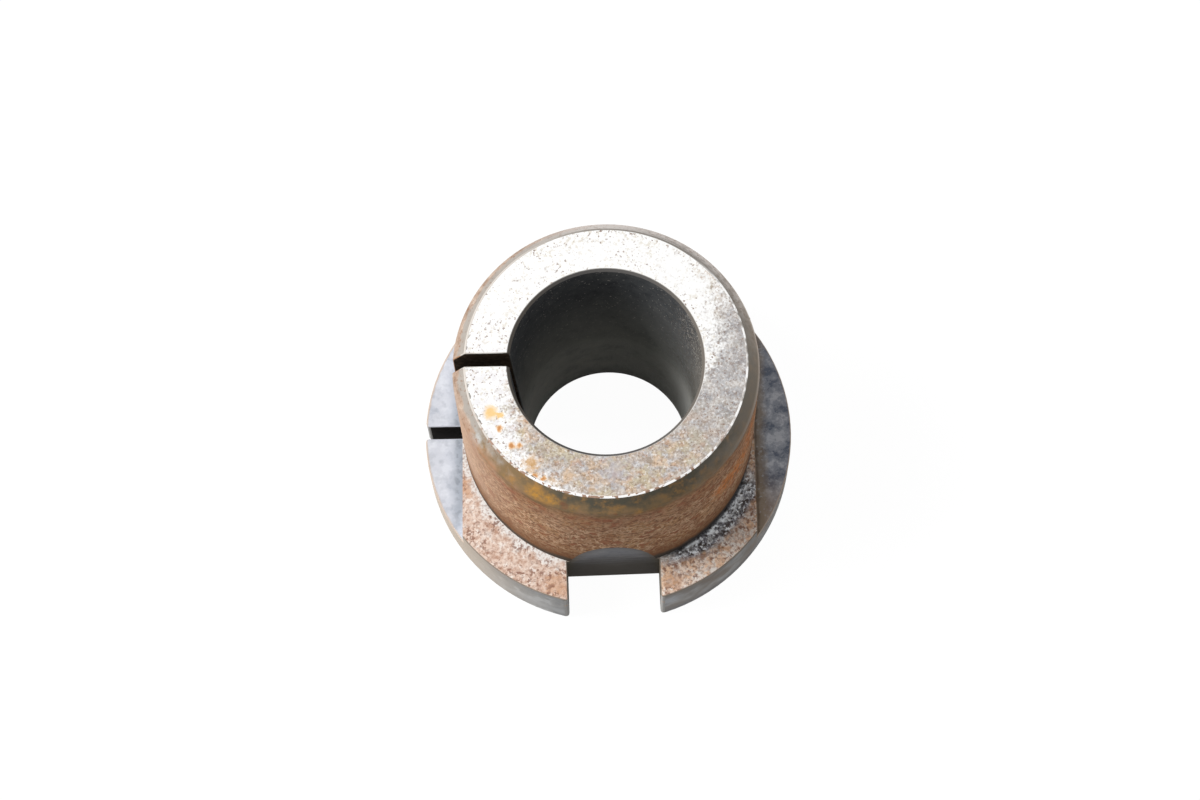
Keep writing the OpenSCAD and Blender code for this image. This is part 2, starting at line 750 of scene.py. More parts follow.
@dataclass(frozen=True)
class GroundFace(Finish):
    """The ground top face: bright at the back and left, stained and mottled at the front and right."""

    clean: Colour = paint(245, 245, 244)
    haze: Colour = paint(224, 221, 224)
    faint_speck: Colour = paint(210, 200, 182)
    speck: Colour = paint(118, 82, 58)
    stain: Tones = Tones(paint(166, 152, 140), paint(196, 184, 174), paint(213, 206, 199))
    silver: Tones = Tones(paint(142, 143, 149), paint(182, 182, 184), paint(212, 211, 210))
    tan: Colour = paint(222, 190, 154)
    moss: Colour = paint(202, 190, 156)
    rosy: Colour = paint(190, 144, 112)
    pit: Colour = paint(142, 120, 102)
    blue: Colour = paint(190, 194, 202)
    fleck: Colour = paint(242, 240, 238)
    ochre: Colour = paint(236, 194, 116)
    mustard: Colour = paint(206, 160, 98)
    lilac: Colour = paint(186, 182, 190)
    halo: Colour = paint(226, 178, 122)
    amber: Colour = paint(192, 132, 82)
    nick: Colour = paint(96, 88, 74)
    stain_centre: float = -60.0
    stain_half: float = 76.0
    stain_fade: float = 64.0
    lean: float = 8.0
    lean_radius: float = 15.6
    amber_core: float = 0.6
    ochres: tuple[Spot, ...] = (
        Spot((-14.9, -6.7, FACE_Z), 1.2, 0.28),
        Spot((-13.7, -7.0, FACE_Z), 0.6, 0.3),
    )
    lilacs: tuple[Spot, ...] = (Spot((1.0, -14.9, FACE_Z), 2.6, 1.2, 0.0),)
    tans: tuple[Spot, ...] = (
        Spot((-1.9, -17.1, FACE_Z), 0.9, 0.6, 0.1),
        Spot((7.0, -16.3, FACE_Z), 0.7, 0.5, 0.1),
        Spot((-4.9, -15.3, FACE_Z), 1.4, 0.8, 0.0),
    )
    mustards: tuple[Spot, ...] = (Spot((-9.7, -13.8, FACE_Z), 1.5, 0.8, 0.2),)
    ambers: tuple[Spot, ...] = (
        Spot((-13.8, -8.9, FACE_Z), 0.62, 0.24),
        Spot((-12.2, -11.2, FACE_Z), 0.62, 0.24),
        Spot((-11.2, -11.1, FACE_Z), 0.52, 0.22),
        Spot((-9.2, -15.3, FACE_Z), 0.55, 0.26),
        Spot((-8.2, -15.7, FACE_Z), 0.5, 0.26),
    )

    def stained(self, brush: Brush) -> Socket:
        """Masks the stained sector, which leans and has a grainy border.

        Args:
            brush: The material's graph.

        Returns:
            The mask.
        """
        graph = brush.graph
        outward = graph.minus(brush.radius, self.lean_radius)
        leaning = graph.minus(brush.angle, graph.times(outward, self.lean))
        angle = brush.wavy(leaning, 2.5, 40.0)
        sector = brush.sector(self.stain_centre, self.stain_half, self.stain_fade, angle)
        grain = graph.plus(brush.sway(0.3, 1.5), brush.sway(1.1, 1.1))
        return graph.rise(graph.plus(sector, grain), 0.1, 0.9)

    def coat(self, brush: Brush) -> Coat:
        """Paints the stained sector over clean steel, then blotches and the chipped margin.

        Args:
            brush: The material's graph.

        Returns:
            The coat.
        """
        graph = brush.graph
        stained = self.stained(brush)
        film, grain = brush.cloud(1.5, self.stain, 0.11)
        silver, _ = brush.cloud(1.3, self.silver, 0.13)
        right = brush.sector(-4.0, 36.0, 44.0)
        mottled = Skin(brush, film)
        mottled.lay(self.blue, brush.speckle(0.9, 0.54, 0.08), 0.6)
        mottled.lay(self.tan, brush.speckle(1.4, 0.55, 0.09), 0.62)
        mottled.lay(self.moss, brush.speckle(1.9, 0.56, 0.08), 0.6)
        mottled.lay(self.rosy, brush.speckle(1.2, 0.64, 0.06), 0.55)
        mottled.lay(silver, right, 0.85)
        mottled.lay(self.pit, brush.speckle(0.36, 0.54, 0.14), graph.between(right, 0.6, 0.5))
        mottled.lay(self.speck, brush.speckle(0.3, 0.66, 0.03), 0.7)
        mottled.lay(self.fleck, brush.speckle(0.42, 0.61, 0.07), 0.5)

        crowded = brush.crowding(0.28, 0.3, 0.56)
        dotted = graph.times(brush.speckle(0.38, 0.65, 0.02), crowded)
        skin = Skin(brush, self.clean)
        skin.lay(self.haze, brush.sector(-150.0, 40.0, 50.0), brush.speckle(1.2, 0.52, 0.12), 0.6)
        skin.lay(self.faint_speck, brush.speckle(0.4, 0.6, 0.05), crowded, 0.55)
        skin.lay(self.speck, dotted, 0.8)

        skin.lay(mottled.colour, stained)
        skin.dab(self.ochre, self.ochres, 0.85)
        skin.dab(self.lilac, self.lilacs, 0.6)
        skin.dab(self.tan, self.tans, 0.4)
        skin.dab(self.mustard, self.mustards, 0.75)
        for spot in self.ambers:
            core = replace(spot, reach=spot.reach * self.amber_core)
            skin.dab(self.halo, [spot], 0.9)
            skin.dab(self.amber, [core], 0.9)
        margin = graph.rise(brush.wavy(brush.radius, 0.5, 0.4), 17.95, 18.15)
        skin.lay(self.fleck, margin, brush.sector(-120.0, 26.0, 24.0), 0.9)
        chipped = graph.rise(brush.wavy(brush.radius, 0.6, 1.6), 18.15, 18.3)
        skin.lay(self.nick, chipped, brush.sector(-150.0, 40.0, 20.0), 0.8)
        return Coat(
            colour=skin.colour,
            roughness=graph.between(stained, 0.4, 0.6),
            metallic=graph.between(graph.math("MAXIMUM", stained, dotted), 0.7, 0.15),
            height=grain,
            bump=0.03,
            gloss=0.3,
        )


@dataclass(frozen=True)
class LeadBevel(Finish):
    """The lead-in bevel: a grey and a tan strip at the back and left, burnt oil at the front."""

    tan: Tones = Tones(paint(150, 124, 104), paint(180, 156, 138), paint(202, 182, 164))
    grey: Colour = paint(166, 161, 154)
    bare: Colour = paint(192, 192, 188)
    steel: Colour = paint(226, 219, 214)
    sleeve: Colour = paint(174, 132, 102)
    umber: Colour = paint(112, 104, 96)
    dusk: Colour = paint(136, 124, 112)
    painted_limb_highlight: Colour = paint(226, 212, 198)
    speck: Colour = paint(134, 92, 64)
    rust: Colour = paint(128, 80, 58)
    oil: Oil = Oil()
    bares: tuple[Spot, ...] = (Spot((-16.8, -10.2, 35.5), 1.9, 0.5),)
    rusts: tuple[Spot, ...] = (
        Spot((-5.4, -18.4, 35.4), 0.9, 0.4),
        Spot((1.0, -19.6, 34.8), 0.6, 0.3),
    )

    def coat(self, brush: Brush) -> Coat:
        """Paints the film, the bare steel at the right, the oil with its patches, and a painted highlight low
        on the right.

        Args:
            brush: The material's graph.

        Returns:
            The coat.
        """
        graph = brush.graph
        film, grain = brush.cloud(1.4, self.tan, 0.16)
        upper = graph.rise(brush.wavy(brush.height, 1.6, 1.6), 35.8, 36.4)
        foot = graph.rise(brush.height, 36.4, 35.0)
        bright = brush.sector(52.0, 56.0, 50.0)
        aside = brush.sector(24.0, 46.0, 50.0)
        skin = Skin(brush, film)
        skin.lay(self.grey, upper, 0.85)
        skin.lay(self.steel, bright, 0.8)
        skin.dab(self.bare, self.bares)
        skin.lay(self.speck, brush.speckle(0.5, 0.635, 0.05), 0.7)
        skin.lay(self.sleeve, brush.sector(-80.0, 76.0, 30.0), foot)
        skin.lay(self.umber, aside, graph.rise(brush.height, 36.0, 36.9), 0.5)
        skin.lay(self.dusk, aside, brush.speckle(0.8, 0.54, 0.08), 0.5)
        oily = self.oil.lay_on(skin)
        # Painted highlight along the lower lead-in on the right side, where the sleeve turns away.
        skin.lay(self.painted_limb_highlight, aside, graph.rise(brush.height, 35.4, 35.1), 0.6)
        skin.dab(self.rust, self.rusts, 0.6)
        return Coat(
            colour=skin.colour,
            roughness=graph.between(oily, 0.5, 0.62),
            metallic=graph.times(bright, 0.5),
            height=grain,
            bump=0.05,
            gloss=0.15,
        )


@dataclass(frozen=True)
class SleeveRust(Finish):
    """The sleeve's side: an even brown rust with fine pale waves, oranger at the right, and darker at the
    foot with grime and painted shade.
    """

    rust: Tones = Tones(paint(144, 103, 76), paint(186, 142, 111), paint(210, 167, 133))
    thread: Colour = paint(238, 200, 164)
    pit: Colour = paint(126, 88, 64)
    red: Colour = paint(168, 100, 72)
    tawny: Colour = paint(196, 148, 100)
    paler_left: Colour = paint(206, 176, 154)
    orange: Colour = paint(234, 140, 72)
    umber: Colour = paint(162, 112, 80)
    # Grime and soot at the foot, deepened by painted shade where the sleeve meets the flange.
    grime_and_shade: Colour = paint(124, 86, 58)
    soot_and_shade: Colour = paint(70, 65, 58)
    black: Colour = paint(52, 50, 50)
    oil: Oil = Oil()
    notch_ends: tuple[Spot, ...] = (
        Spot((-6.6, -18.9, 10.0), 2.6, 0.5, 0.1),
        Spot((6.4, -19.0, 10.0), 3.0, 0.5, 0.1),
    )
    oranges: tuple[Spot, ...] = (
        Spot((17.4, -9.8, 23.0), 6.0, 1.6, 0.1),
        Spot((15.4, -12.8, 23.6), 4.0, 1.3, 0.1),
        Spot((18.8, -6.6, 29.0), 4.6, 1.4, 0.1),
    )

    def coat(self, brush: Brush) -> Coat:
        """Paints rust, threads, the paler left, the orange right, the oil, and grime with painted shade at
        the foot.

        Args:
            brush: The material's graph.

        Returns:
            The coat.
        """
        graph = brush.graph
        rust, grain = brush.cloud(1.1, self.rust, 0.18)
        low = graph.between(graph.rise(brush.height, 33.0, 25.0), 0.25, 1.0)
        frayed = graph.between(brush.speckle(1.6, 0.5, 0.12), 0.4, 1.0)
        front = graph.between(brush.sector(-90.0, 96.0, 50.0), 0.35, 1.0)
        skin = Skin(brush, rust)
        skin.lay(self.tawny, brush.speckle(4.5, 0.52, 0.12), 0.5)
        skin.lay(self.umber, brush.speckle(3.0, 0.53, 0.07), 0.55)
        skin.lay(self.pit, brush.speckle(0.5, 0.55, 0.07), 0.8)
        skin.lay(self.thread, brush.thread(1.3, 0.06), low, frayed, front)
        skin.lay(self.red, brush.speckle(1.3, 0.62, 0.05), 0.5)
        # Paler towards the left.
        skin.lay(self.paler_left, brush.sector(180.0, 36.0, 50.0), 0.75)
        skin.dab(self.orange, self.oranges, brush.speckle(1.1, 0.48, 0.12), 0.75)
        self.oil.lay_on(skin)
        below_oil = brush.band(brush.wavy(brush.height, 1.5, 3.0), 30.6, 33.2, 1.6)
        smudged = graph.times(below_oil, brush.speckle(1.5, 0.54, 0.08))
        skin.lay(self.red, smudged, brush.sector(-100.0, 46.0, 20.0), 0.5)
        # Grime with painted shade darkens the foot towards the flange, blackest on the shaded right; painted
        # shade also darkens the notch's ends.
        foot = brush.wavy(brush.height, 2.0, 1.4)
        skin.lay(self.grime_and_shade, graph.rise(foot, 19.0, 10.5), 0.92)
        skin.lay(self.soot_and_shade, graph.rise(foot, 12.0, 10.4), 0.9)
        skin.dab(self.soot_and_shade, self.notch_ends, 0.75)
        skin.lay(self.black, graph.rise(foot, 12.0, 9.9), brush.sector(-38.0, 34.0, 30.0), 0.8)
        return Coat(colour=skin.colour, roughness=0.8, metallic=0.0, height=grain, bump=0.06, gloss=0.12)


@dataclass(frozen=True)
class FlangeScale(Finish):
    """The flange's seat: pinkish rust scale with brown specks, bright and sooty along the sleeve, with grime
    and painted shade at the sleeve's foot on the right.
    """

    scale: Tones = Tones(paint(202, 168, 148), paint(232, 210, 195), paint(248, 240, 232))
    speck: Colour = paint(138, 97, 80)
    freckle: Colour = paint(178, 138, 118)
    bright: Colour = paint(246, 243, 239)
    orange: Colour = paint(210, 158, 116)
    peach: Colour = paint(255, 233, 214)
    dun: Colour = paint(142, 100, 76)
    white: Colour = paint(255, 248, 240)
    apricot: Colour = paint(250, 200, 152)
    brown: Colour = paint(206, 158, 122)
    ash: Tones = Tones(paint(56, 55, 56), paint(138, 142, 154), paint(246, 251, 255))
    black: Colour = paint(48, 48, 50)
    orange_spots: tuple[Spot, ...] = (
        Spot((-19.6, -8.0, SEAT_Z), 2.2, 0.9),
        Spot((-7.2, -22.6, SEAT_Z), 2.4, 0.9),
        Spot((8.6, -22.4, SEAT_Z), 1.8, 0.9),
    )

    def coat(self, brush: Brush) -> Coat:
        """Paints scale, specks, the bright strip at the left, the sooty one at the right, and grime with
        painted shade at the sleeve's foot there.

        Args:
            brush: The material's graph.

        Returns:
            The coat.
        """
        graph = brush.graph
        scale, grain = brush.cloud(0.9, self.scale, 0.15)
        right = brush.sector(-38.0, 40.0, 12.0)
        skin = Skin(brush, scale)
        skin.lay(self.peach, right, 0.85)
        skin.lay(self.brown, brush.sector(-14.0, 24.0, 30.0), 0.5)
        skin.lay(self.dun, right, brush.speckle(1.2, 0.56, 0.05), 0.45)
        skin.lay(self.white, right, brush.speckle(0.5, 0.53, 0.04), 0.85)
        skin.lay(self.apricot, right, brush.speckle(1.5, 0.56, 0.06), 0.55)
        skin.lay(self.white, right, brush.speckle(1.3, 0.58, 0.05), 0.75)
        skin.dab(self.orange, self.orange_spots, 0.6)
        clumped = brush.wavy(brush.wavy(brush.radius, 2.2, 4.0), 0.7, 1.4)
        skin.lay(self.bright, graph.rise(clumped, 21.4, 20.5), brush.sector(-125.0, 54.0, 16.0), 0.9)
        skin.lay(self.freckle, brush.speckle(0.36, 0.55, 0.08), 0.5)
        crowded = brush.crowding(0.4, 0.36, 0.56)
        skin.lay(self.speck, brush.speckle(0.52, 0.57, 0.055), crowded, 0.8)

        sooty = brush.sector(-44.0, 24.0, 12.0)
        narrow = graph.times(graph.rise(brush.angle, -50.0, -68.0), 1.1)
        radius = graph.plus(brush.wavy(brush.radius, 0.9, 1.2), narrow)
        stained = graph.times(brush.band(radius, 22.0, 23.5, 0.5), brush.speckle(0.8, 0.5, 0.08))
        skin.lay(self.dun, sooty, stained, 0.7)
        ash, _ = brush.cloud(0.62, self.ash, 0.1)
        middle = brush.band(radius, 21.1, 21.9, 0.4)
        clumps = graph.times(brush.band(radius, 20.3, 21.2, 0.4), brush.speckle(0.9, 0.51, 0.06))
        flecks = brush.speckle(0.4, 0.58, 0.06)
        strewn = Skin(brush, ash)
        strewn.lay(self.ash.dark, middle, brush.speckle(1.1, 0.46, 0.1), 0.75)
        strewn.lay(self.ash.pale, clumps, 0.9)
        strewn.lay(self.ash.pale, flecks, 0.9)
        ashy = graph.times(sooty, brush.band(radius, 19.0, 22.5, 0.5))
        skin.lay(strewn.colour, ashy, 0.92)
        # Grime with painted shade along the sleeve's foot on the shaded right.
        skin.lay(self.black, sooty, graph.rise(brush.radius, 20.45, 20.1), 0.85)
        bare = graph.times(ashy, graph.math("MAXIMUM", clumps, flecks))
        return Coat(
            colour=skin.colour,
            roughness=0.8,
            metallic=graph.times(bare, 0.6),
            height=grain,
            bump=0.08,
            gloss=0.15,
        )


@dataclass(frozen=True)
class MilledRelief(Finish):
    """The two side reliefs: smooth pale steel at the left with painted shade along the chord, stained and
    blotched at the right.
    """

    pale: Tones = Tones(paint(184, 189, 199), paint(205, 208, 216), paint(216, 219, 226))
    shade: Colour = paint(158, 163, 171)
    smudge: Colour = paint(122, 126, 132)
    stain: Tones = Tones(paint(112, 120, 136), paint(164, 169, 180), paint(210, 213, 220))
    band: Colour = paint(152, 133, 110)
    line: Colour = paint(96, 76, 58)
    fleck: Colour = paint(222, 224, 230)
    brown: Colour = paint(178, 150, 124)
    edge: Colour = paint(200, 178, 158)

    def coat(self, brush: Brush) -> Coat:
        """Paints the left and the right relief, by how far they lie from the middle.

        Args:
            brush: The material's graph.

        Returns:
            The coat.
        """
        graph = brush.graph
        across = graph.add("ShaderNodeSeparateXYZ", {0: brush.point}).outputs[0]
        on_right = graph.rise(across, -1.0, 1.0)
        away = graph.math("ABSOLUTE", across)
        reach = brush.wavy(away, 1.8, 1.0)

        pale, _ = brush.cloud(2.4, self.pale, 0.16)
        smudge = graph.times(graph.rise(reach, 21.8, 20.9), brush.speckle(0.9, 0.55, 0.07))
        left = Skin(brush, pale)
        # Painted shade on the left relief along the chord below the slit, with stain smudges over it.
        left.lay(self.shade, graph.rise(reach, 22.4, 20.5), brush.sector(-176.0, 27.0, 14.0), 0.9)
        left.lay(self.smudge, smudge, brush.sector(-176.0, 26.0, 10.0), 0.5)
        left.lay(self.shade, brush.speckle(1.1, 0.58, 0.12), 0.3)
        left.lay(self.edge, graph.rise(brush.wavy(brush.radius, 0.8, 0.3), 25.0, 25.25), 0.6)

        stain, grain = brush.cloud(2.0, self.stain, 0.13)
        right = Skin(brush, stain)
        right.lay(self.brown, brush.sector(-42.0, 20.0, 20.0), 0.75)
        right.lay(self.band, graph.rise(brush.wavy(reach, 0.7, 1.0), 22.4, 21.0), 0.75)
        right.lay(self.fleck, brush.speckle(0.45, 0.65, 0.05), 0.35)
        right.lay(self.line, graph.rise(reach, 20.9, 20.5), 0.7)
        right.lay(self.edge, graph.rise(away, 20.42, 20.34), brush.speckle(1.6, 0.46, 0.1), 0.45)
        right.lay(self.shade, graph.rise(brush.height, 6.6, 6.8), 0.85)
        return Coat(
            colour=graph.mix(on_right, left.colour, right.colour),
            roughness=0.5,
            metallic=graph.between(on_right, 0.3, 0.0),
            height=grain,
            bump=0.015,
            gloss=0.2,
        )


@dataclass(frozen=True)
class RimSteel(Finish):
    """The flange's rim and base: smooth turned steel, tan at the left, filmed at the right, with painted
    shade, reflection and highlight.
    """

    steel: Tones = Tones(paint(168, 168, 169), paint(188, 187, 185), paint(214, 214, 214))
    shade: Colour = paint(146, 146, 148)
    tan: Colour = paint(206, 190, 172)
    film: Colour = paint(150, 137, 126)
    painted_highlight: Colour = paint(212, 216, 222)
    painted_highlight_spots: tuple[Spot, ...] = (Spot((8.1, -24.1, 6.6), 3.2, 0.6, 0.0),)

    def coat(self, brush: Brush) -> Coat:
        """Paints turned steel, the tan and brown films, the painted shade, reflection and shadow, and the
        painted highlight.

        Args:
            brush: The material's graph.

        Returns:
            The coat.
        """
        graph = brush.graph
        steel, _ = brush.cloud(3.2, self.steel, 0.13)
        lines = brush.streak(brush.height, 0.05, 4.0)
        level = brush.wavy(brush.height, 2.5, 5.0)
        right = brush.sector(-44.0, 34.0, 26.0)
        skin = Skin(brush, steel)
        skin.lay(self.steel.dark, graph.rise(lines, 0.5, 0.7), 0.3)
        # Painted shade on the upper rim and a painted floor reflection on its lower part.
        skin.lay(self.shade, graph.rise(level, 6.0, 9.4), 0.6)
        skin.lay(self.steel.pale, brush.band(level, 1.5, 4.5, 1.2), 0.6)
        skin.lay(self.tan, brush.sector(-160.0, 34.0, 40.0), 0.85)
        skin.lay(self.film, right, brush.speckle(5.0, 0.46, 0.16), 0.8)
        # Painted shadow along the bottom at the right.
        skin.lay(self.shade, right, graph.rise(brush.height, 3.6, 0.8), 0.7)
        # Painted highlight beside the notch.
        skin.dab(self.painted_highlight, self.painted_highlight_spots, 0.7)
        return Coat(colour=skin.colour, roughness=0.6, metallic=0.0, height=lines, bump=0.01, gloss=0.06)


@dataclass(frozen=True)
class NotchSteel(Finish):
    """The spanner notch: cut steel, bluish at the run-out, darker towards the bottom and oily brown further
    out.
    """

    steel: Tones = Tones(paint(132, 134, 140), paint(150, 151, 156), paint(166, 165, 167))
    deep: Colour = paint(60, 53, 42)
    oily: Colour = paint(96, 84, 58)

    def coat(self, brush: Brush) -> Coat:
        """Paints cut steel that darkens downwards.

        Args:
            brush: The material's graph.

        Returns:
            The coat.
        """
        graph = brush.graph
        steel, _ = brush.cloud(2.0, self.steel, 0.22)
        streaks = brush.streak(brush.height, 0.06, 1.6)
        depth = graph.plus(brush.height, graph.times(graph.minus(streaks, 0.5), 7.0))
        skin = Skin(brush, steel)
        # Darker towards the bottom.
        skin.lay(self.deep, graph.rise(depth, 17.5, 5.5), 0.92)
        skin.lay(self.oily, graph.rise(brush.radius, 19.6, 20.2), 0.6)
        return Coat(colour=skin.colour, roughness=0.65, metallic=0.0, height=streaks, bump=0.02, gloss=0.04)


@dataclass(frozen=True)
class BoreOxide(Finish):
    """The tapered bore: bluish black with bright specks, worn smoother and greyer in its lower part, paler
    low on the right wall, with painted shadow higher up on it.
    """

    oxide: Tones = Tones(paint(66, 68, 71), paint(80, 82, 84), paint(94, 95, 95))
    worn: Tones = Tones(paint(170, 170, 165), paint(190, 190, 184), paint(200, 199, 191))
    pale_low_right: Colour = paint(236, 235, 229)
    speck: Colour = paint(206, 200, 192)
    brown: Colour = paint(104, 92, 78)
    bronze: Colour = paint(142, 134, 120)
    worn_from: float = 33.0
    worn_to: float = 6.0
    step_z: float = 13.5
    step_fade: float = 1.0

    def coat(self, brush: Brush) -> Coat:
        """Paints black oxide, the worn lower part, the pale lower right wall with painted shadow above it,
        and the bright specks.

        Args:
            brush: The material's graph.

        Returns:
            The coat.
        """
        graph = brush.graph
        oxide, grain = brush.cloud(1.6, self.oxide, 0.2)
        worn, _ = brush.cloud(3.0, self.worn, 0.2)
        lower = graph.rise(brush.height, self.worn_from, self.worn_to)
        step = graph.rise(brush.height, self.step_z + self.step_fade, self.step_z - self.step_fade)
        right = brush.sector(6.0, 34.0, 50.0)
        skin = Skin(brush, oxide)
        skin.lay(worn, graph.plus(graph.times(lower, 0.78), graph.times(step, 0.1)))
        skin.lay(self.brown, right, brush.speckle(0.5, 0.52, 0.1), 0.5)
        skin.lay(self.bronze, brush.sector(-4.0, 22.0, 24.0), 0.32)
        skin.lay(self.oxide.body, graph.rise(brush.height, 4.0, 0.0), 0.35)
        # Paler low on the right wall; painted shadow darkens the same wall higher up.
        skin.lay(self.pale_low_right, right, graph.rise(brush.height, 19.0, 8.0))
        skin.lay(self.oxide.dark, right, graph.rise(brush.height, 12.0, 20.0), 0.3)
        skin.lay(self.speck, brush.speckle(0.36, 0.68, 0.03), graph.minus(1.0, step), 0.55)
        gritty = graph.rise(brush.wavy(brush.height, 1.2, 6.0), 20.0, 34.0)
        crowded = graph.times(brush.sector(0.0, 34.0, 24.0), brush.speckle(1.8, 0.45, 0.14))
        skin.lay(self.speck, brush.speckle(0.26, 0.58, 0.06), crowded, gritty, 0.7)
        return Coat(
            colour=skin.colour,
            roughness=graph.between(step, 0.75, 0.6),
            metallic=0.0,
            height=grain,
            bump=0.03,
            gloss=0.015,
        )


@dataclass(frozen=True)
class SlitWall(Finish):
    """The slit's two sawn walls: dark brown oxide."""

    oxide: Tones = Tones(paint(40, 31, 24), paint(62, 50, 40), paint(92, 76, 62))
    black: Colour = paint(34, 33, 32)

    def coat(self, brush: Brush) -> Coat:
        """Paints brown oxide that blackens downwards.

        Args:
            brush: The material's graph.

        Returns:
            The coat.
        """
        oxide, grain = brush.cloud(0.8, self.oxide, 0.2)
        skin = Skin(brush, oxide)
        skin.lay(self.black, brush.graph.rise(brush.height, 16.0, 8.0), 0.85)
        return Coat(colour=skin.colour, roughness=0.8, metallic=0.0, height=grain, bump=0.05, gloss=0.05)


@dataclass(frozen=True)
class WornEdge(Finish):
    """The broken edges: bare bright steel round the front of the top, dull elsewhere, with dashes of rust."""

    bright: Colour = paint(252, 251, 250)
    white: Colour = paint(236, 232, 226)
    dull: Colour = paint(190, 180, 170)
    rust: Colour = paint(158, 116, 90)
    mouth: Colour = paint(96, 93, 91)
    brown: Colour = paint(110, 104, 97)
    dusk: Colour = paint(118, 112, 106)
    rim: Colour = paint(204, 186, 170)
    oxide: Colour = paint(70, 70, 70)
    deep: Colour = paint(76, 68, 56)
    steel: Colour = paint(188, 186, 183)
    sleeve: Colour = paint(172, 134, 106)
    seat: Colour = paint(150, 138, 126)
    milled: Colour = paint(196, 199, 207)

    def coat(self, brush: Brush) -> Coat:
        """Paints each edge by its place: the low ones first, then the top's.

        Args:
            brush: The material's graph.

        Returns:
            The coat.
        """
        graph = brush.graph
        relief = brush.band(brush.height, 6.1, 6.7)
        near_bore = graph.rise(brush.radius, 13.6, 13.2)
        skin = Skin(brush, self.steel)
        skin.lay(self.sleeve, graph.rise(brush.height, 10.0, 10.6))
        skin.lay(self.seat, brush.band(brush.height, 9.2, 10.0))
        skin.lay(self.milled, relief)
        skin.lay(self.rim, relief, graph.rise(brush.radius, 25.0, 25.2))
        skin.lay(self.oxide, near_bore)
        skin.lay(self.deep, graph.rise(brush.height, 1.4, 0.7), graph.rise(brush.radius, 22.0, 20.5))

        top = graph.rise(brush.height, 36.3, 36.8)
        outer = graph.times(top, graph.rise(brush.radius, 16.5, 17.5))
        inner = graph.times(top, near_bore)
        dashes = graph.times(brush.speckle(0.85, 0.54, 0.03), brush.sector(-92.0, 62.0, 24.0))
        gaps = graph.times(brush.sector(-8.0, 44.0, 30.0), brush.speckle(1.5, 0.52, 0.1))
        whole = graph.minus(1.0, graph.math("MAXIMUM", dashes, gaps))
        bare = graph.times(graph.times(outer, brush.sector(-42.0, 84.0, 24.0)), whole)
        sides = graph.math("ABSOLUTE", graph.minus(graph.math("ABSOLUTE", brush.angle), 90.0))
        mouth = graph.mix(graph.rise(sides, 20.0, 60.0), self.mouth, self.brown)
        skin.lay(self.white, top)
        skin.lay(self.dull, outer, 0.6)
        skin.lay(self.dusk, outer, brush.sector(64.0, 50.0, 50.0), 0.75)
        skin.lay(mouth, inner, graph.rise(brush.height, 37.42, 37.28))
        skin.lay(self.rust, dashes, outer, 0.8)
        skin.lay(self.bright, bare)
        return Coat(
            colour=skin.colour,
            roughness=graph.between(bare, 0.65, 0.3),
            metallic=bare,
            height=dashes,
            bump=0.02,
            gloss=0.15,
        )


@dataclass(frozen=True)
class Corner:
    """A corner of the turned section, the surface that follows it, and its rounding if that is a wide one."""

    radius: float
    height: float
    run: Zone
    rounding: float = 0.0


